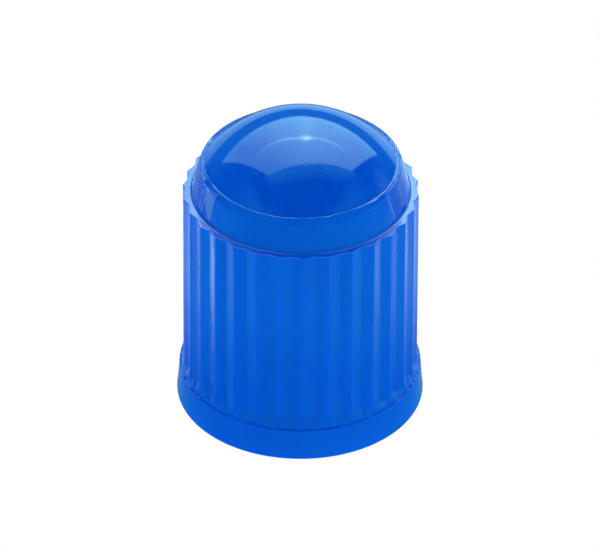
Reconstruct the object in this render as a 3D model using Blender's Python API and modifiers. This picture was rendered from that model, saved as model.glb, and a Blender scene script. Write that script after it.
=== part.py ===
"""Moulded dust cap for a tyre valve, with a rubber sealing ring inside it.

Blender 4.5, metres, +Z up. The cap stands on its open mouth, whose rim is the
plane Z = 0, and its axis is the Z axis. One crest of the grip flutes points
along -Y. The mouth takes a valve stem with the common 7.7 mm, 32 turns per
inch, right-hand valve thread.
"""

import math

import bmesh
import bpy
from mathutils import Matrix

MM = 0.001

# Outside
FOOT_RADIUS = 5.00 * MM          # widest, at the very bottom of the band
FOOT_ROUND = 0.09 * MM
BAND_TOP_RADIUS = 4.90 * MM      # where the band's straight side ends
BAND_TOP_Z = 1.30 * MM
FLARE_TOP_Z = 2.08 * MM          # where the band's rounded top meets the skirt
SKIRT_RADIUS = 4.75 * MM         # over the crests
SHOULDER_Z = 9.81 * MM
SHOULDER_ROUND = 0.05 * MM
COLLAR_FOOT_RADIUS = 4.40 * MM
COLLAR_TOP_RADIUS = 4.10 * MM
COLLAR_TOP_Z = 10.88 * MM
COLLAR_FILLET = 0.05 * MM        # small step where the collar meets the shoulder
DOME_EDGE_RADIUS = 3.83 * MM
DOME_EDGE_Z = 11.18 * MM
DOME_TOP_Z = 12.92 * MM
DOME_POWER = 2.32                # 2 would be a parabola; higher is flatter on top

# Grip flutes
FLUTES = 30
FLUTE_DEPTH = 0.18 * MM
FLUTE_HALF_ANGLE = 4.9           # degrees, from a groove's middle to its lip
FLUTE_RUNOUT_Z = 1.92 * MM       # where a groove's floor starts to rise outwards
FLUTE_RUNOUT_SLOPE = 1.65        # drop of the groove's end per unit outwards

# Inside
MOUTH_RADIUS = 4.25 * MM
MOUTH_CHAMFER = 0.22 * MM
COUNTERBORE_RADIUS = 4.03 * MM
COUNTERBORE_DEPTH = 1.20 * MM
BORE_RADIUS = 3.90 * MM          # root of the internal thread
SEAT_Z = 9.30 * MM               # blind end that the sealing ring bears on
RECESS_RADIUS = 2.20 * MM        # room for the valve's core pin
RECESS_TOP_Z = 10.75 * MM

# Internal thread, 7.7 mm nominal
PITCH = 25.4 / 32 * MM
THREAD_MINOR_RADIUS = 3.52 * MM
THREAD_ROOT_RADIUS = 4.00 * MM   # buried in the wall
THREAD_ROOT_HALF = 0.345 * MM
THREAD_CREST_HALF = 0.11 * MM
THREAD_START_Z = 1.75 * MM
THREAD_TURNS = 6.5

# Sealing ring
SEAL_RADIUS = 2.95 * MM
SEAL_CORD_RADIUS = 0.65 * MM
CLEARANCE = 0.30 * MM

OUTSIDE_STEPS = 60
INSIDE_STEPS = 32


def clear_scene():
    for obj in list(bpy.data.objects):
        bpy.data.objects.remove(obj, do_unlink=True)


def new_collection(name, hidden=False):
    made = bpy.data.collections.new(name)
    bpy.context.scene.collection.children.link(made)
    made.hide_render = hidden
    return made


def plastic(name, colour, roughness):
    material = bpy.data.materials.new(name)
    material.use_nodes = True
    shader = material.node_tree.nodes["Principled BSDF"]
    shader.inputs["Base Color"].default_value = (*colour, 1.0)
    shader.inputs["Roughness"].default_value = roughness
    shader.inputs["Metallic"].default_value = 0.0
    material.diffuse_color = (*colour, 1.0)
    return material


def mesh_object(name, bm, collection):
    mesh = bpy.data.meshes.new(name)
    bm.to_mesh(mesh)
    bm.free()
    made = bpy.data.objects.new(name, mesh)
    collection.objects.link(made)
    return made


def turned(name, profile, steps, collection):
    """A solid of revolution: the profile runs down the outer side, axis to axis."""
    bm = bmesh.new()
    points = [bm.verts.new((r, 0.0, z)) for r, z in profile]
    for a, b in zip(points, points[1:]):
        bm.edges.new((a, b))
    made = mesh_object(name, bm, collection)
    screw = made.modifiers.new("turn", "SCREW")
    screw.axis = "Z"
    screw.angle = math.tau
    screw.steps = screw.render_steps = steps
    screw.use_merge_vertices = True
    screw.merge_threshold = 1e-6
    screw.use_normal_calculate = False
    return made


def helper(obj):
    obj.hide_render = True
    obj.display_type = "WIRE"
    return obj


def boolean(target, other, operation):
    modifier = target.modifiers.new(other.name, "BOOLEAN")
    modifier.operation = operation
    modifier.solver = "EXACT"
    modifier.object = other


def arc(centre_r, centre_z, radius, start, end, count):
    """Points of a rounded corner, angles in degrees from +X towards +Z."""
    for i in range(count + 1):
        a = math.radians(start + (end - start) * i / count)
        yield centre_r + radius * math.cos(a), centre_z + radius * math.sin(a)


def dome_height(r):
    rise = DOME_TOP_Z - DOME_EDGE_Z
    return DOME_EDGE_Z + rise * (1 - (r / DOME_EDGE_RADIUS) ** DOME_POWER)


def outside_profile():
    points = [(0.0, DOME_TOP_Z)]
    rings = 9
    for i in range(1, rings + 1):
        r = DOME_EDGE_RADIUS * math.sin(math.pi / 2 * i / rings)
        points.append((r, dome_height(r)))
    # Rolled lip from the dome's edge to the collar
    lip = 0.19 * MM
    points += list(arc(COLLAR_TOP_RADIUS - lip, COLLAR_TOP_Z, lip, 62, 8, 3))
    # Collar: a short cone with a little belly
    steps = 4
    for i in range(1, steps + 1):
        t = i / steps
        belly = 0.02 * MM * math.sin(math.pi * t)
        points.append((
            COLLAR_TOP_RADIUS + (COLLAR_FOOT_RADIUS - COLLAR_TOP_RADIUS) * t + belly,
            COLLAR_TOP_Z + (SHOULDER_Z + COLLAR_FILLET - COLLAR_TOP_Z) * t,
        ))
    points.append((COLLAR_FOOT_RADIUS, SHOULDER_Z))
    # Shoulder and skirt at full radius
    points += list(arc(
        SKIRT_RADIUS - SHOULDER_ROUND, SHOULDER_Z - SHOULDER_ROUND,
        SHOULDER_ROUND, 90, 0, 2,
    ))
    points.append((SKIRT_RADIUS, FLARE_TOP_Z))
    # Band: rounded top, nearly straight side, small round at the foot
    steps = 4
    for i in range(1, steps + 1):
        t = i / steps
        points.append((
            SKIRT_RADIUS + (BAND_TOP_RADIUS - SKIRT_RADIUS) * math.sin(math.pi / 2 * t),
            FLARE_TOP_Z + (BAND_TOP_Z - FLARE_TOP_Z) * t,
        ))
    points += list(arc(
        FOOT_RADIUS - FOOT_ROUND, FOOT_ROUND, FOOT_ROUND, 0, -90, 3,
    ))
    points.append((0.0, 0.0))
    return points


def bore_profile():
    below = -1.0 * MM
    cone = 0.35 * MM
    return [
        (0.0, RECESS_TOP_Z),
        (RECESS_RADIUS - cone, RECESS_TOP_Z),
        (RECESS_RADIUS, RECESS_TOP_Z - cone),
        (RECESS_RADIUS, SEAT_Z),
        (BORE_RADIUS, SEAT_Z),
        (BORE_RADIUS, COUNTERBORE_DEPTH + (COUNTERBORE_RADIUS - BORE_RADIUS)),
        (COUNTERBORE_RADIUS, COUNTERBORE_DEPTH),
        (COUNTERBORE_RADIUS, MOUTH_CHAMFER),
        (MOUTH_RADIUS, 0.0),
        (MOUTH_RADIUS, below),
        (0.0, below),
    ]


def groove_section():
    """(radius, angle) down one flank of a groove, from outside the skirt to its floor."""
    outer = 5.4 * MM
    yield outer, FLUTE_HALF_ANGLE + 0.75
    yield SKIRT_RADIUS + 0.01 * MM, FLUTE_HALF_ANGLE + 0.15
    for t in (0.93, 0.80, 0.60, 0.34):
        # The flank follows a cosine, so its lip and its foot are both round
        yield (
            SKIRT_RADIUS - FLUTE_DEPTH * (0.5 + 0.5 * math.cos(math.pi * t)),
            FLUTE_HALF_ANGLE * t,
        )
    yield SKIRT_RADIUS - FLUTE_DEPTH, 0.0


def fluting_cutter(collection):
    """Thirty grooves, each a prism whose lower end slopes down and outwards."""
    side = list(groove_section())
    section = [(r, -a) for r, a in side] + [(r, a) for r, a in reversed(side[:-1])]
    top = SHOULDER_Z + 0.6 * MM
    floor = SKIRT_RADIUS - FLUTE_DEPTH
    bm = bmesh.new()
    for i in range(FLUTES):
        middle = -90.0 + (i + 0.5) * 360.0 / FLUTES
        lower = []
        for r, a in section:
            angle = math.radians(middle + a)
            z = FLUTE_RUNOUT_Z - (r - floor) * FLUTE_RUNOUT_SLOPE
            lower.append(bm.verts.new((r * math.cos(angle), r * math.sin(angle), z)))
        face = bm.faces.new(lower)
        made = bmesh.ops.extrude_face_region(bm, geom=[face])
        for v in made["geom"]:
            if isinstance(v, bmesh.types.BMVert):
                v.co.z = top
    bmesh.ops.recalc_face_normals(bm, faces=bm.faces)
    return helper(mesh_object("fluting_cutter", bm, collection))


def thread_ridge(collection):
    """The thread's ridge as a trapezium swept along a right-hand helix, its ends capped."""
    bm = bmesh.new()
    corners = [
        (THREAD_ROOT_RADIUS, THREAD_ROOT_HALF),
        (THREAD_MINOR_RADIUS, THREAD_CREST_HALF),
        (THREAD_MINOR_RADIUS, -THREAD_CREST_HALF),
        (THREAD_ROOT_RADIUS, -THREAD_ROOT_HALF),
    ]
    steps = round(THREAD_TURNS * INSIDE_STEPS)
    rings = []
    for i in range(steps + 1):
        # Half a step out of line with the bore's facets, so that their edges cross cleanly
        turn = (i + 0.5) / INSIDE_STEPS
        angle = math.tau * turn
        z = THREAD_START_Z + PITCH * turn
        rings.append([
            bm.verts.new((r * math.cos(angle), r * math.sin(angle), z + dz))
            for r, dz in corners
        ])
    for a, b in zip(rings, rings[1:]):
        for k in range(4):
            bm.faces.new((a[k], a[(k + 1) % 4], b[(k + 1) % 4], b[k]))
    bm.faces.new(rings[0])
    bm.faces.new(rings[-1])
    bmesh.ops.recalc_face_normals(bm, faces=bm.faces)
    return helper(mesh_object("thread_ridge", bm, collection))


def cap_body(parts, cutters):
    body = turned("cap_body", outside_profile(), OUTSIDE_STEPS, parts)
    boolean(body, fluting_cutter(cutters), "DIFFERENCE")
    bore = helper(turned("bore_cutter", bore_profile(), INSIDE_STEPS, cutters))
    boolean(body, bore, "DIFFERENCE")
    boolean(body, thread_ridge(cutters), "UNION")
    body.data.materials.append(plastic("cap_blue_plastic", (0.002, 0.105, 0.62), 0.16))
    return body


def sealing_ring(parts):
    bpy.ops.mesh.primitive_torus_add(
        major_segments=40,
        minor_segments=10,
        major_radius=SEAL_RADIUS,
        minor_radius=SEAL_CORD_RADIUS,
        location=(0.0, 0.0, SEAT_Z - CLEARANCE - SEAL_CORD_RADIUS),
    )
    ring = bpy.context.object
    ring.name = ring.data.name = "sealing_ring"
    for collection in list(ring.users_collection):
        collection.objects.unlink(ring)
    parts.objects.link(ring)
    ring.data.materials.append(plastic("seal_black_rubber", (0.012, 0.012, 0.013), 0.62))
    return ring


def shade(obj):
    obj.data.shade_smooth()
    if obj.modifiers:
        for polygon in obj.data.polygons:
            polygon.use_smooth = True
    obj.data.set_sharp_from_angle(angle=math.radians(35))


def main():
    clear_scene()
    parts = new_collection("valve_dust_cap")
    cutters = new_collection("cutters", hidden=True)
    body = cap_body(parts, cutters)
    ring = sealing_ring(parts)
    shade(ring)
    for modifier in body.modifiers:
        if modifier.type == "SCREW":
            modifier.use_smooth_shade = True
    origin = bpy.data.objects.new("valve_axis", None)
    origin.empty_display_size = 4 * MM
    parts.objects.link(origin)
    for obj in (body, ring):
        obj.parent = origin
        obj.matrix_parent_inverse = Matrix.Identity(4)


main()
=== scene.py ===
"""Valve dust cap: fine surface, materials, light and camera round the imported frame."""
import math

import bpy
import numpy as np
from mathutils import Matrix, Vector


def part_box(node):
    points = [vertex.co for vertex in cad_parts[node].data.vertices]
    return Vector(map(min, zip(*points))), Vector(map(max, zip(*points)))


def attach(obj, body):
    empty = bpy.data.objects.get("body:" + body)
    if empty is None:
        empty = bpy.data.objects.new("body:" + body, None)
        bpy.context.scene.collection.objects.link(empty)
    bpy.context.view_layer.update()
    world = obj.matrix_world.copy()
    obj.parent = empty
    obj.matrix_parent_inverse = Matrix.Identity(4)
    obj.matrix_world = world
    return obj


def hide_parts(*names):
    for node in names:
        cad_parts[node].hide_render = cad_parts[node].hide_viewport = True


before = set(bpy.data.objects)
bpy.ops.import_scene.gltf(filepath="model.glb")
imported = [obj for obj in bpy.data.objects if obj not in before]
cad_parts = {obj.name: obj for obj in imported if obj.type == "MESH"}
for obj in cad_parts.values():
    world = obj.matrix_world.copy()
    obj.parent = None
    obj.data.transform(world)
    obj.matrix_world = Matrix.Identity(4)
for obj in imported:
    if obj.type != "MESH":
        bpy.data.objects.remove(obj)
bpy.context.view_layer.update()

MM = 0.001

# ---------------------------------------------------------------- dimensions (mm, as in the CAD)
BODY_LO, BODY_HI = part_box("cap_body")
SEAL_LO, SEAL_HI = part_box("sealing_ring")
HEIGHT = BODY_HI[2] / MM
FOOT_R = BODY_HI[0] / MM
FOOT_ROUND = 0.10
BAND_TOP_R, BAND_TOP_Z = FOOT_R - 0.10, 1.30
FLARE_TOP_Z = 2.08
SKIRT_R = FOOT_R - 0.25
SHOULDER_Z = 9.81
COLLAR_FOOT_R, COLLAR_TOP_R, COLLAR_TOP_Z = 4.40, 4.10, 10.88
EDGE_R, EDGE_Z = 3.83, 11.18
COLLAR_FILLET = 0.07
DOME_POWER = 2.32
FLUTES, FLUTE_DEPTH = 30, 0.145
CREST_HALF = 0.50      # degrees: half of the flat on top of each crest
PITCH = 25.4 / 32
BORE_R, MINOR_R = 3.90, 3.52
MOUTH_R, MOUTH_CHAMFER, CB_R, CB_DEPTH = 4.25, 0.22, 4.03, 1.20
SEAT_Z, RECESS_R, RECESS_Z = 9.30, 2.20, 10.75

N_OUT = 1080     # points round the outside
N_IN = 360       # points round the inside


def smooth(a, b, x):
    t = np.clip((x - a) / (b - a), 0.0, 1.0)
    return t * t * (3 - 2 * t)


def waves(theta, z, seed, count, k_lo, k_hi, z_scale):
    """Smooth, repeatable unevenness round and along the cap, about -1 to 1."""
    rng = np.random.default_rng(seed)
    total = np.zeros(np.broadcast(theta, z).shape)
    weight = 0.0
    for _ in range(count):
        k = rng.integers(k_lo, k_hi + 1)
        a, b, c = rng.uniform(0, 2 * math.pi, 3)
        w = rng.uniform(0.5, 1.0)
        total = total + w * np.sin(k * theta + a + 1.3 * np.sin(z_scale * z + b)) * np.cos(
            z_scale * rng.uniform(0.3, 1.0) * z + c
        )
        weight += w * 0.6
    return total / weight


# ---------------------------------------------------------------- outside of the cap
def dome_z(r):
    return EDGE_Z + (HEIGHT - EDGE_Z) * (1 - (r / EDGE_R) ** DOME_POWER)


def envelope(z):
    """Radius over the crests, from the band's foot to the shoulder."""
    t = np.clip((FLARE_TOP_Z - z) / (FLARE_TOP_Z - BAND_TOP_Z), 0, 1)
    step = smooth(BAND_TOP_Z + 0.115, BAND_TOP_Z + 0.025, z)
    flare = SKIRT_R + (BAND_TOP_R - SKIRT_R) * (0.42 * t**1.6 + 0.58 * step)
    low = BAND_TOP_R + (FOOT_R - BAND_TOP_R) * np.clip((BAND_TOP_Z - z) / BAND_TOP_Z, 0, 1) ** 0.9
    return np.where(z > BAND_TOP_Z, flare, low)


def groove_floor(z):
    t = np.clip((1.78 - z) / 0.44, 0, 1)
    return SKIRT_R - FLUTE_DEPTH + (BAND_TOP_R - SKIRT_R + FLUTE_DEPTH) * t**1.3


def flute_shape(theta, z):
    """1 on a crest, 0 in a groove's bottom; the flanks are hollow, steepest just under the crest."""
    pitch = 2 * math.pi / FLUTES
    index = np.mod(np.round(theta / pitch), FLUTES)
    wobble = np.sin(index * 12.9898) * 43758.5453
    wobble = (wobble - np.floor(wobble)) - 0.5
    u = np.degrees(theta - np.round(theta / pitch) * pitch)
    shift = 0.3 * wobble + 0.08 * np.sin(0.9 * z + 9 * wobble) + 0.05 * np.sin(3.1 * z + 23 * wobble)
    u = np.abs(u - shift * (1 - (u / 6.0) ** 2))
    half = CREST_HALF * (1 + 0.3 * np.sin(5.1 * index))
    t = np.clip((u - half) / (5.95 - half), 0, 1)
    steep, shallow = 0.47, 0.20
    return 1 - (steep * t - (steep - shallow) * t * t / 2) / ((steep + shallow) / 2)


def skirt_radius(theta, z):
    if np.ndim(z) == 0 and z < FLARE_TOP_Z:      # the flutes run out a little unevenly
        z = z + 0.075 * waves(theta, 0.0, 61, 10, 20, 110, 1.0) * math.sin(math.pi * (FLARE_TOP_Z - z) / 0.86)
    env = envelope(z)
    depth = np.maximum(env - groove_floor(z), 0)
    uneven = 1 + 0.06 * np.sin(theta * 7.0 + 0.6) * np.cos(0.5 * z)
    return env - depth * uneven * (1 - flute_shape(theta, z))


def outside_rings():
    theta = np.linspace(0, 2 * math.pi, N_OUT, endpoint=False)
    rings = []

    def ring(r, z):
        rings.append((np.broadcast_to(r, theta.shape).astype(float),
                      np.broadcast_to(z, theta.shape).astype(float)))

    # Dome
    for t in np.linspace(0, 1, 57)[1:]:
        r = EDGE_R * math.sin(math.pi / 2 * t)
        ring(r, dome_z(r) + 0.004 * waves(theta, r, 11, 4, 2, 5, 1.0) * smooth(0.0, 2.0, r))
    # The dome meets a narrow ledge in a broken line of flash
    degrees = (np.degrees(theta) + 180) % 360 - 180
    away = np.abs(degrees)
    lively = smooth(-12, 8, degrees) * (1 - smooth(62, 80, degrees))
    ridge = 0.004 + (0.008 + 0.036 * lively) * np.clip(0.55 + waves(theta, 0.0, 5, 7, 2, 41, 1.0), 0, 1.4)
    rough = np.exp(-(((degrees + 78) / 11.0) ** 2))
    ridge = ridge + 0.085 * rough * (1 + 0.8 * waves(theta, 0.0, 8, 6, 24, 90, 1.0))
    ridge = ridge * (1 - 0.9 * smooth(100, 135, away))
    uneven = waves(theta, 0.0, 21, 6, 3, 17, 1.0)
    broad = 1 + 1.4 * smooth(20, 50, degrees) * (1 - smooth(90, 110, degrees)) + 0.9 * rough
    for dr, share in ((0.003, 0.35), (0.012, 0.95), (0.026, 1.0), (0.040, 0.9), (0.054, 0.1)):
        ring(EDGE_R + dr * broad, EDGE_Z - (0.30 - 0.10 * (broad - 1)) * dr * broad + ridge * share)
    # The ledge falls away in front and lies flatter at the sides; the collar's rim rounds off below it
    flat = np.where(degrees > 0, smooth(40, 74, away), smooth(66, 86, away))
    tilt = np.radians(40 + 38 * flat - 6 * smooth(105, 140, away) + 2.5 * uneven)
    rim = 0.12
    r0, z0 = EDGE_R + 0.054 * broad, EDGE_Z - 0.022
    centre = 4.09 - 0.035 * flat - rim * math.cos(math.radians(12))
    lip_r = centre + rim * np.cos(tilt)
    lip_z = z0 - (lip_r - r0) / np.tan(tilt)
    def blobs(t):
        return rough * 0.045 * waves(theta, 2.0 * t, 71, 9, 18, 75, 4.0)

    for t in (0.06, 0.3, 0.55, 0.8):
        ring(r0 + (lip_r - r0) * t, z0 + (lip_z - z0) * t + blobs(0.5 * t))
    middle = lip_z - rim * np.sin(tilt)
    for t in np.linspace(0, 1, 14):
        a = tilt + (math.radians(12) - tilt) * t
        top_r, top_z = centre + rim * np.cos(a) + 0.004 * uneven * np.cos(a), middle + rim * np.sin(a)
        top_r = top_r + blobs(0.5 + t) * (1 - t)
        ring(top_r, top_z + blobs(0.5 + t) * (1 - t))
    # Collar
    slope = math.atan2(COLLAR_FOOT_R - 4.10, COLLAR_TOP_Z - SHOULDER_Z)
    fillet = COLLAR_FILLET
    end_z = SHOULDER_Z + fillet * (1 - math.sin(slope))
    end_r = COLLAR_FOOT_R + fillet * (1 - math.cos(slope)) - 0.012
    for t in np.linspace(0, 1, 30)[1:-1]:
        r = top_r + (end_r - top_r) * t + 0.010 * math.sin(math.pi * t)
        z = top_z + (end_z - top_z) * t
        bump = waves(theta, 5 * t, 31, 9, 3, 15, 1.0)
        sides = smooth(0.5, 0.9, np.abs(np.sin(theta)))
        ring(r + (0.001 + 0.013 * sides) * bump * math.sin(math.pi * min(t + 0.12, 1.0)), z)
    # Fillet between collar and shoulder
    centre_r = end_r + fillet * math.cos(slope)
    for a in np.linspace(math.degrees(slope), 90, 9):
        a = math.radians(a)
        ring(centre_r - fillet * math.cos(a), SHOULDER_Z + fillet - fillet * math.sin(a))
    # Shoulder, out to the fluted edge
    edge = 0.032 + 0.010 * waves(theta, 0.0, 41, 5, 9, 41, 1.0)
    outer = skirt_radius(theta, SHOULDER_Z)
    inner = centre_r
    for t in (0.35, 0.7):
        ring(inner + (outer - edge - inner) * t, SHOULDER_Z - 0.002 * t)
    for a in np.linspace(90, 0, 7):
        a = math.radians(a)
        ring(outer - edge + edge * math.cos(a), SHOULDER_Z - edge + edge * math.sin(a))
    # Skirt
    for z in np.linspace(SHOULDER_Z - 0.12, FLARE_TOP_Z + 0.12, 54):
        ring(skirt_radius(theta, z), z)
    low = np.concatenate([np.linspace(FLARE_TOP_Z + 0.06, BAND_TOP_Z + 0.14, 18),
                          np.linspace(BAND_TOP_Z + 0.115, BAND_TOP_Z - 0.03, 11)])
    for z in low:
        ring(skirt_radius(theta, z), z)
    # Band
    for z in np.linspace(BAND_TOP_Z - 0.09, FOOT_ROUND + 0.02, 16):
        ring(envelope(z) - 0.004 * (1 + waves(theta, z, 51, 5, 2, 9, 1.2)), z)
    for a in np.linspace(0, -90, 7):
        a = math.radians(a)
        ring(FOOT_R - FOOT_ROUND + FOOT_ROUND * math.cos(a), FOOT_ROUND + FOOT_ROUND * math.sin(a))
    ring((FOOT_R - FOOT_ROUND + MOUTH_R) / 2, 0.0)
    ring(MOUTH_R + 0.015, 0.0)
    return theta, rings


def thread_rise(theta, z):
    """Height of the right-hand thread's ridge over the bore's wall."""
    start, turns = 1.75, 6.5
    turn = (z - start) / PITCH - theta / (2 * math.pi)
    near = np.round(turn)
    dz = np.abs(turn - near) * PITCH
    along = near + theta / (2 * math.pi)          # turns from the start
    fade = smooth(-0.25, 0.25, along) * (1 - smooth(turns - 0.35, turns + 0.15, along))
    height = BORE_R - MINOR_R
    return fade * height * (1 - smooth(0.10, 0.345, dz))


def inside_rings():
    theta = np.linspace(0, 2 * math.pi, N_IN, endpoint=False)
    rings = []

    def ring(r, z):
        rings.append((np.broadcast_to(r, theta.shape).astype(float),
                      np.broadcast_to(z, theta.shape).astype(float)))

    ring(MOUTH_R, 0.012)
    ring((MOUTH_R + CB_R) / 2, MOUTH_CHAMFER / 2)
    ring(CB_R + 0.01, MOUTH_CHAMFER - 0.01)
    ring(CB_R, MOUTH_CHAMFER + 0.02)
    ring(CB_R, CB_DEPTH * 0.6)
    ring(CB_R, CB_DEPTH - 0.02)
    ring(CB_R - 0.02, CB_DEPTH + 0.02)
    for z in np.linspace(CB_DEPTH + 0.13, 7.4, 132):
        ring(BORE_R - thread_rise(theta, z), z)
    ring(BORE_R, 8.0)
    ring(BORE_R, SEAT_Z - 0.06)
    ring(BORE_R - 0.02, SEAT_Z - 0.015)
    ring(BORE_R - 0.06, SEAT_Z)
    ring(RECESS_R + 0.06, SEAT_Z)
    ring(RECESS_R + 0.015, SEAT_Z + 0.015)
    ring(RECESS_R, SEAT_Z + 0.06)
    ring(RECESS_R, RECESS_Z - 0.40)
    for a in np.linspace(0, 90, 6)[1:]:
        a = math.radians(a)
        ring(RECESS_R - 0.35 + 0.35 * math.cos(a), RECESS_Z - 0.35 + 0.35 * math.sin(a))
    ring(0.9, RECESS_Z)
    return theta, rings


def cap_mesh():
    theta_o, outer = outside_rings()
    theta_i, inner = inside_rings()
    verts, faces = [], []
    apex = (0.0, 0.0, HEIGHT)
    verts.append(apex)

    def place(theta, r, z):
        # theta is counted from -Y towards +X
        first = len(verts)
        verts.extend(zip(r * np.sin(theta), -r * np.cos(theta), z))
        return first

    starts = [place(theta_o, r, z) for r, z in outer]
    n = N_OUT
    for j in range(n):
        faces.append((0, starts[0] + j, starts[0] + (j + 1) % n))
    for a, b in zip(starts, starts[1:]):
        for j in range(n):
            k = (j + 1) % n
            faces.append((a + j, b + j, b + k, a + k))
    inner_starts = [place(theta_i, r, z) for r, z in inner]
    # Join the rim's fine ring to the coarser ring inside the mouth
    step = N_OUT // N_IN
    a, b = starts[-1], inner_starts[0]
    for j in range(N_IN):
        fine = [a + (j * step + s) % N_OUT for s in range(step + 1)]
        faces.append((fine[-1], b + j, b + (j + 1) % N_IN))
        for s in range(step):
            faces.append((fine[s], b + j, fine[s + 1]))
    m = N_IN
    for a, b in zip(inner_starts, inner_starts[1:]):
        for j in range(m):
            k = (j + 1) % m
            faces.append((a + j, b + j, b + k, a + k))
    last = len(verts)
    verts.append((0.0, 0.0, RECESS_Z))
    a = inner_starts[-1]
    for j in range(m):
        faces.append((a + j, last, a + (j + 1) % m))
    mesh = bpy.data.meshes.new("cap_shell")
    mesh.from_pydata([tuple(c * MM for c in v) for v in verts], [], faces)
    mesh.validate()
    mesh.update()
    mesh.shade_smooth()
    return mesh


# ---------------------------------------------------------------- materials
def nodes_of(name):
    material = bpy.data.materials.new(name)
    material.use_nodes = True
    tree = material.node_tree
    return material, tree, tree.nodes["Principled BSDF"]


def noise(tree, scale, detail=2.0, roughness=0.5, distortion=0.0):
    node = tree.nodes.new("ShaderNodeTexNoise")
    node.inputs["Scale"].default_value = scale
    node.inputs["Detail"].default_value = detail
    node.inputs["Roughness"].default_value = roughness
    node.inputs["Distortion"].default_value = distortion
    return node


def object_coords(tree):
    return tree.nodes.new("ShaderNodeTexCoord").outputs["Object"]


def ranged(tree, value, lo, hi, to_lo, to_hi):
    node = tree.nodes.new("ShaderNodeMapRange")
    node.inputs["From Min"].default_value = lo
    node.inputs["From Max"].default_value = hi
    node.inputs["To Min"].default_value = to_lo
    node.inputs["To Max"].default_value = to_hi
    tree.links.new(value, node.inputs["Value"])
    return node.outputs["Result"]


def bumped(tree, heights, base=None):
    """Chained bumps: each is (height socket, distance in metres, strength)."""
    normal = base
    for height, distance, strength in heights:
        bump = tree.nodes.new("ShaderNodeBump")
        bump.inputs["Distance"].default_value = distance
        bump.inputs["Strength"].default_value = strength
        tree.links.new(height, bump.inputs["Height"])
        if normal is not None:
            tree.links.new(normal, bump.inputs["Normal"])
        normal = bump.outputs["Normal"]
    return normal


def blue_plastic():
    material, tree, shader = nodes_of("blue_moulded_plastic")
    coords = object_coords(tree)
    links = tree.links

    def at(node):
        links.new(coords, node.inputs["Vector"])
        return node.outputs["Fac"]

    flow = at(noise(tree, 260, 3, 0.55, 0.4))      # slow flow marks, about 4 mm
    fine = at(noise(tree, 2600, 4, 0.6))           # about 0.4 mm
    grit = at(noise(tree, 11000, 3, 0.6))          # about 0.1 mm
    specks = ranged(tree, at(noise(tree, 9000, 0, 0.5)), 0.78, 0.85, 0, 1)   # a few tiny raised specks
    # Colour drifts a little between two blues with the flow of the plastic
    mix = tree.nodes.new("ShaderNodeMix")
    mix.data_type = "RGBA"
    mix.inputs[6].default_value = (0.0, 0.101, 0.738, 1)
    mix.inputs[7].default_value = (0.0, 0.110, 0.782, 1)
    links.new(ranged(tree, flow, 0.35, 0.65, 0, 1), mix.inputs[0])
    links.new(ranged(tree, fine, 0.3, 0.7, 0.02, 0.045), shader.inputs["Roughness"])
    links.new(bumped(tree, [
        (fine, 0.0000008, 0.5),
        (grit, 0.0000003, 0.5),
        (specks, 0.000009, 0.7),
    ]), shader.inputs["Normal"])
    # The shoulder, moulded against a polished face of the tool, shines more than the rest,
    # and so do a few scuffs down the sides of the collar, which are also painted a lighter blue there: wear and a
    # painted sheen
    split = tree.nodes.new("ShaderNodeSeparateXYZ")
    links.new(coords, split.inputs[0])

    def times(first, second):
        node = tree.nodes.new("ShaderNodeMath")
        node.operation = "MULTIPLY"
        links.new(first, node.inputs[0])
        links.new(second, node.inputs[1])
        return node.outputs[0]

    level = split.outputs[2]
    shoulder = times(ranged(tree, level, 0.009795, 0.009803, 0, 1), ranged(tree, level, 0.009811, 0.009818, 1, 0))
    shoulder = times(shoulder, ranged(tree, flow, 0.35, 0.65, 0.42, 0.62))
    across = times(split.outputs[0], split.outputs[0])
    collar = times(ranged(tree, level, 0.00990, 0.01005, 0, 1), ranged(tree, level, 0.01112, 0.01124, 1, 0))
    stretched = tree.nodes.new("ShaderNodeMapping")
    stretched.inputs["Rotation"].default_value = (0.0, 0.35, 0.0)
    stretched.inputs["Scale"].default_value = (1.0, 1.0, 0.30)
    links.new(coords, stretched.inputs["Vector"])
    scuff_and_sheen_noise = noise(tree, 850, 5, 0.70, 1.2)
    links.new(stretched.outputs[0], scuff_and_sheen_noise.inputs["Vector"])
    # Streaks on the left and right sides of the collar only: scuffs and a painted sheen
    scuffs_and_painted_sheen = times(ranged(tree, scuff_and_sheen_noise.outputs["Fac"], 0.545, 0.575, 0, 0.8), times(collar, ranged(tree, across, 0.0000095, 0.0000125, 0, 1)))
    # Painted sheen and wear: the streaks turn the base colour a lighter blue
    worn_and_painted_sheen = tree.nodes.new("ShaderNodeMix")
    worn_and_painted_sheen.data_type = "RGBA"
    worn_and_painted_sheen.inputs[7].default_value = (0.085, 0.215, 0.80, 1)
    links.new(mix.outputs[2], worn_and_painted_sheen.inputs[6])
    links.new(scuffs_and_painted_sheen, worn_and_painted_sheen.inputs[0])
    links.new(worn_and_painted_sheen.outputs[2], shader.inputs["Base Color"])
    total = tree.nodes.new("ShaderNodeMath")
    total.operation = "MAXIMUM"
    links.new(shoulder, total.inputs[0])
    links.new(scuffs_and_painted_sheen, total.inputs[1])
    links.new(total.outputs[0], shader.inputs["Coat Weight"])
    shader.inputs["Coat Roughness"].default_value = 0.06
    shader.inputs["Coat IOR"].default_value = 1.50
    shader.inputs["IOR"].default_value = 1.50
    shader.inputs["Specular Tint"].default_value = (0.38, 1.0, 1.0, 1)
    shader.inputs["Subsurface Weight"].default_value = 1.0
    shader.inputs["Subsurface Radius"].default_value = (0.1, 0.35, 1.0)
    shader.inputs["Subsurface Scale"].default_value = 0.0005
    return material


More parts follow.
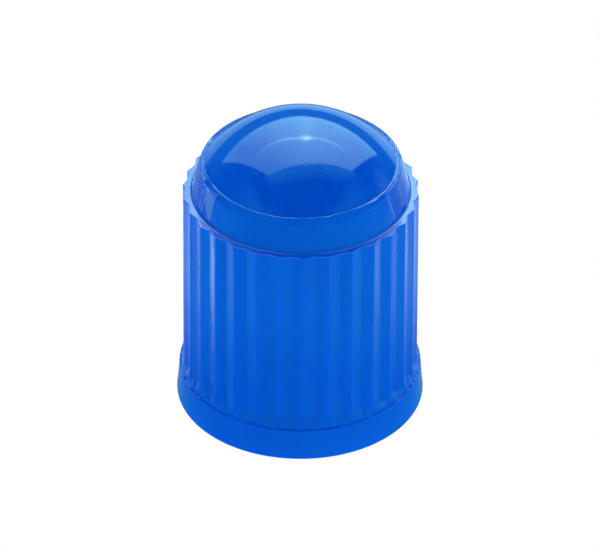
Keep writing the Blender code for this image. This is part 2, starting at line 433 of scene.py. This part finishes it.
def black_rubber():
    material, tree, shader = nodes_of("black_seal_rubber")
    coords = object_coords(tree)
    coarse = noise(tree, 900, 3)
    fine = noise(tree, 9000, 4, 0.6)
    for node in (coarse, fine):
        tree.links.new(coords, node.inputs["Vector"])
    mix = tree.nodes.new("ShaderNodeMix")
    mix.data_type = "RGBA"
    mix.inputs[6].default_value = (0.010, 0.010, 0.011, 1)
    mix.inputs[7].default_value = (0.022, 0.022, 0.023, 1)
    tree.links.new(ranged(tree, coarse.outputs["Fac"], 0.35, 0.65, 0, 1), mix.inputs[0])
    tree.links.new(mix.outputs[2], shader.inputs["Base Color"])
    tree.links.new(ranged(tree, fine.outputs["Fac"], 0.3, 0.7, 0.5, 0.75), shader.inputs["Roughness"])
    tree.links.new(bumped(tree, [(fine.outputs["Fac"], 0.000006, 0.6)]), shader.inputs["Normal"])
    return material


# ---------------------------------------------------------------- pieces
def add(name, mesh, material):
    mesh.materials.append(material)
    piece = bpy.data.objects.new(name, mesh)
    bpy.context.scene.collection.objects.link(piece)
    return piece


cap = add("cap_shell", cap_mesh(), blue_plastic())
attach(cap, "root")
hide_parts("cap_body")


def seal_mesh():
    """O ring with the fine flash line that its two-part mould leaves inside and out."""
    major = ((SEAL_HI[0] - SEAL_LO[0]) - (SEAL_HI[2] - SEAL_LO[2])) / 2 / MM
    minor = (SEAL_HI[2] - SEAL_LO[2]) / 2 / MM
    middle = (SEAL_HI[2] + SEAL_LO[2]) / 2 / MM
    around, across = 192, 48
    verts, faces = [], []
    for i in range(around):
        a = 2 * math.pi * i / around
        for j in range(across):
            b = 2 * math.pi * j / across
            flash = 0.012 * max(0.0, 1 - abs(math.sin(b)) / 0.10)
            r = minor - 0.014 + flash
            verts.append((
                (major + r * math.cos(b)) * math.cos(a) * MM,
                (major + r * math.cos(b)) * math.sin(a) * MM,
                (middle + (r + 0.012) * math.sin(b)) * MM,
            ))
    for i in range(around):
        for j in range(across):
            a, b = i * across, ((i + 1) % around) * across
            k = (j + 1) % across
            faces.append((a + j, b + j, b + k, a + k))
    mesh = bpy.data.meshes.new("seal_o_ring")
    mesh.from_pydata(verts, [], faces)
    mesh.update()
    mesh.shade_smooth()
    return mesh


seal = add("seal_o_ring", seal_mesh(), black_rubber())
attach(seal, "root")
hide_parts("sealing_ring")

# ---------------------------------------------------------------- stage and studio light
class Value:
    """A shader socket with arithmetic, so that the light can be written as a formula."""

    def __init__(self, tree, socket):
        self.tree, self.socket = tree, socket

    def _math(self, operation, *others, clamp=False):
        node = self.tree.nodes.new("ShaderNodeMath")
        node.operation = operation
        node.use_clamp = clamp
        for slot, value in enumerate((self, *others)):
            if isinstance(value, Value):
                self.tree.links.new(value.socket, node.inputs[slot])
            else:
                node.inputs[slot].default_value = value
        return Value(self.tree, node.outputs[0])

    def __add__(self, other):
        return self._math("ADD", other)

    def __sub__(self, other):
        return self._math("SUBTRACT", other)

    def __mul__(self, other):
        return self._math("MULTIPLY", other)

    def __truediv__(self, other):
        return self._math("DIVIDE", other)

    __radd__, __rmul__ = __add__, __mul__

    def __rsub__(self, other):
        return (self * -1.0) + other

    def power(self, other):
        return self._math("POWER", other)

    def at_least(self, other):
        return self._math("MAXIMUM", other)

    def root(self):
        return self._math("SQRT")

    def above(self, lo, hi):
        """0 below lo, 1 above hi, smooth between; lo may be the larger."""
        node = self.tree.nodes.new("ShaderNodeMapRange")
        node.interpolation_type = "SMOOTHSTEP"
        flip = lo > hi
        node.inputs["From Min"].default_value = min(lo, hi)
        node.inputs["From Max"].default_value = max(lo, hi)
        node.inputs["To Min"].default_value = 1.0 if flip else 0.0
        node.inputs["To Max"].default_value = 0.0 if flip else 1.0
        self.tree.links.new(self.socket, node.inputs["Value"])
        return Value(self.tree, node.outputs["Result"])

    def bell(self, width):
        """1 at 0, falling off over width either side."""
        scaled = self / width
        return (scaled * scaled * -1.0)._math("EXPONENT")


def coloured(tree, parts):
    """Sum of (Value, colour) pairs as a colour socket."""
    total = None
    for value, colour in parts:
        node = tree.nodes.new("ShaderNodeVectorMath")
        node.operation = "SCALE"
        node.inputs[0].default_value = colour
        tree.links.new(value.socket, node.inputs["Scale"])
        if total is None:
            total = node.outputs[0]
            continue
        add_node = tree.nodes.new("ShaderNodeVectorMath")
        add_node.operation = "ADD"
        tree.links.new(total, add_node.inputs[0])
        tree.links.new(node.outputs[0], add_node.inputs[1])
        total = add_node.outputs[0]
    return total


def by_ray(tree, diffuse, glossy, seen):
    """The soft light for shading, the panels for reflections and plain white for the picture."""
    path = tree.nodes.new("ShaderNodeLightPath")
    first = tree.nodes.new("ShaderNodeMix")
    second = tree.nodes.new("ShaderNodeMix")
    for node in (first, second):
        node.data_type = "RGBA"
    tree.links.new(path.outputs["Is Glossy Ray"], first.inputs[0])
    tree.links.new(diffuse, first.inputs[6])
    tree.links.new(glossy, first.inputs[7])
    tree.links.new(path.outputs["Is Camera Ray"], second.inputs[0])
    tree.links.new(first.outputs[2], second.inputs[6])
    second.inputs[7].default_value = (*seen, 1)
    return second.outputs[2]


def direction_parts(tree, socket):
    node = tree.nodes.new("ShaderNodeSeparateXYZ")
    tree.links.new(socket, node.inputs[0])
    return [Value(tree, out) for out in node.outputs]


def studio():
    """Soft box above and behind the cap, dark room above the camera, pale surroundings."""
    world = bpy.data.worlds.new("studio")
    bpy.context.scene.world = world
    world.use_nodes = True
    tree = world.node_tree
    x, y, z = direction_parts(tree, tree.nodes.new("ShaderNodeTexCoord").outputs["Generated"])
    depth = (y + z).at_least(0.02)
    u, v = x / depth, z / depth
    facing = (y + z).above(0.0, 0.15)

    def box(soft):
        top = (v - (0.276 - 0.0346 * u)).above(-soft, soft)
        bottom = ((0.919 - 0.1517 * u) - v).above(-soft, soft)
        left = (u - (-0.849 + 0.315 * v)).above(-soft, soft)
        right = ((0.712 + 0.032 * v) - u).above(-soft, soft)
        return top * bottom * left * right * facing

    du, dv = u - 0.05, v - 0.535
    spread = (du * du + dv * dv).root()
    panel = (
        1.80 + 1.30 * u.above(-0.55, 0.15) + 0.35 * v.above(0.4, 0.8) - 0.5 * u.above(0.3, 0.75)
        + 1.1 * spread.bell(0.36) + 7.5 * spread.bell(0.030)
        + 3.2 * (dv + 0.06 * u - 0.45 * u * u).bell(0.014) * du.bell(0.40)
        + 0.9 * du.bell(0.03) * (dv + 0.10).bell(0.13)
    )
    soft_box = box(0.022) * panel
    beneath = v - (0.919 - 0.1517 * u)
    haze = (
        1.15 * beneath.above(0.44, 0.0) * beneath.above(-0.02, 0.02)
        * (u + 0.75).above(0.0, 0.3) * (0.95 - u).above(0.0, 0.3) * facing
        + 0.40 * box(0.30) * (1.0 - 1.0 * box(0.022)) * beneath.above(0.02, -0.02)
    )
    flat = (x * x + y * y).root().at_least(0.05)
    side, ahead = x / flat, y / flat                    # unit azimuth: +1 right, +1 behind
    low = z.above(0.80, 0.70)                           # below about 45 degrees
    front = ahead.above(0.35, -0.35)
    behind = 0.26 * (1.0 - front) * z.above(0.45, 0.25)
    surround = 0.10 + 0.85 * low * front + behind + 0.62 * ahead.above(0.40, 0.50) * z.above(0.035, 0.015)
    right_panel = 0.7 * side.above(0.80, 0.95) * z.above(0.50, 0.38) * z.above(0.02, 0.08)
    glossy = coloured(tree, [
        (soft_box, (0.58, 1.0, 0.95)),
        (soft_box * v.above(0.3, 0.62), (0.42, 0.0, 0.0)),
        (haze, (0.3, 1.0, 1.1)),
        (surround + right_panel, (0.10, 0.97, 1.1)),
        (0.30 * ahead.above(0.40, 0.50) * z.above(0.035, 0.015) + right_panel * 0.4, (1.0, 0.0, 0.0)),
    ])
    # Shading: even light all round, weaker from high in front
    high_front = (z * 0.80 - y * 0.60).above(0.55, 0.95)
    even = 1.08 - 0.80 * high_front + 0.05 * x
    diffuse = coloured(tree, [(even, (1.0, 1.0, 1.0))])
    background = tree.nodes["Background"]
    tree.links.new(by_ray(tree, diffuse, glossy, (1, 1, 1)), background.inputs["Color"])
    world.cycles.sampling_method = "NONE"


def floor():
    """White table that glows evenly, so no shadow shows; its sheen in the cap varies with place and holds a
    painted shadow near the foot.
    """
    material = bpy.data.materials.new("pale_floor")
    material.use_nodes = True
    tree = material.node_tree
    tree.nodes.clear()
    x, y, z = direction_parts(tree, tree.nodes.new("ShaderNodeTexCoord").outputs["Object"])
    x, y = x * 1000.0, y * 1000.0
    reach = (x * x + y * y).root()
    side, ahead = x / reach.at_least(0.5), y / reach.at_least(0.5)
    # Brighter in front and to the right, darker behind; close to the foot a painted shadow of the cap and beside
    # the band painted shade, both only in the glow that the cap reflects
    glow = 0.86 - 0.20 * ahead + 0.28 * side.at_least(-0.5) + (
        0.85 * ahead.above(0.1, 0.6) * reach.above(22.0, 16.0) + 0.30 * side.above(-0.75, -0.95)
    )
    # Painted shadow of the cap in the floor's reflected glow close to the foot
    near = (1.0 - 0.45 * (reach - 8.6).bell(2.6)) * (
        1.0 - 0.68 * (reach - 30.0).bell(11.0) * side * side * ahead.above(0.0, 0.3)
    )
    # Painted shade in the floor's reflected glow beside the band, dimming the band's sides
    limb = 1.0 - 0.60 * reach.above(9.0, 6.5) * side * side      # beside the band
    back = (
        0.90 * (reach.above(12.0, 42.0) - 1.0) * ahead.above(0.80, 0.98)
        + reach.above(28.0, 50.0) * (0.80 * ahead.above(0.40, 0.50) - 0.35 * ahead.above(-0.3, 0.0))
    )
    glossy = coloured(tree, [
        (glow * near * limb + back, (0.12, 0.92, 1.12)),
        ((glow * near * limb + back) * ahead.above(-0.3, 0.4) * reach.above(45.0, 22.0), (0.52, 0.0, 0.0)),
        ((glow + back) * ahead.above(-0.1, 0.6) * reach.above(22.0, 45.0), (0.30, 0.0, 0.0)),
    ])
    diffuse = coloured(tree, [(0.99 + 0.0 * reach, (1.0, 1.0, 1.0))])
    emission = tree.nodes.new("ShaderNodeEmission")
    tree.links.new(by_ray(tree, diffuse, glossy, (1, 1, 1)), emission.inputs["Color"])
    output = tree.nodes.new("ShaderNodeOutputMaterial")
    tree.links.new(emission.outputs[0], output.inputs["Surface"])
    material.cycles.emission_sampling = "NONE"
    half = 3.0
    mesh = bpy.data.meshes.new("floor")
    mesh.from_pydata(
        [(-half, -half, 0), (half, -half, 0), (half, half, 0), (-half, half, 0)], [], [(0, 1, 2, 3)]
    )
    mesh.materials.append(material)
    made = bpy.data.objects.new("floor", mesh)
    bpy.context.scene.collection.objects.link(made)
    made.location.z = -0.00002


studio()
floor()

bpy.context.scene.view_settings.view_transform = "Standard"

# ---------------------------------------------------------------- camera
ELEVATION, TURN, ROLL = math.radians(36.13), math.radians(-2.15), math.radians(0.26)
DISTANCE = 400 * MM
PX_PER_MM = 24.78
CENTRE = (300.45, 266.62)      # where the point 6 mm up the axis falls in the frame


def camera():
    from mathutils import Matrix, Vector
    data = bpy.data.cameras.new("camera")
    made = bpy.data.objects.new("camera", data)
    bpy.context.scene.collection.objects.link(made)
    data.sensor_fit = "HORIZONTAL"
    data.sensor_width = 36.0
    focal_px = PX_PER_MM * 400.0
    data.lens = focal_px * 36.0 / 600.0
    data.clip_start, data.clip_end = 0.01, 50
    # Turning the camera by TURN puts a flute's crest a little to the right of the middle
    se, ce = math.sin(ELEVATION), math.cos(ELEVATION)
    forward = Vector((0, ce, -se))
    up = Vector((0, se, ce))
    right = Vector((1, 0, 0))
    turn = Matrix.Rotation(TURN, 3, "Z")
    forward, up, right = turn @ forward, turn @ up, turn @ right
    # roll is clockwise in the picture
    c, s = math.cos(ROLL), math.sin(ROLL)
    up2 = up * c - right * s
    right2 = right * c + up * s
    target = Vector((0, 0, 6 * MM))
    made.location = target - forward * DISTANCE
    # Point the axis at the frame's middle by shifting the aim, not the lens
    dx = (CENTRE[0] - 300.0) / focal_px
    dy = (CENTRE[1] - 275.0) / focal_px
    forward2 = (forward - right2 * dx + up2 * dy).normalized()
    z = -forward2
    x = up2.cross(z).normalized()
    y = z.cross(x)
    made.matrix_world = Matrix.Translation(made.location) @ Matrix((x, y, z)).transposed().to_4x4()
    bpy.context.scene.camera = made


camera()
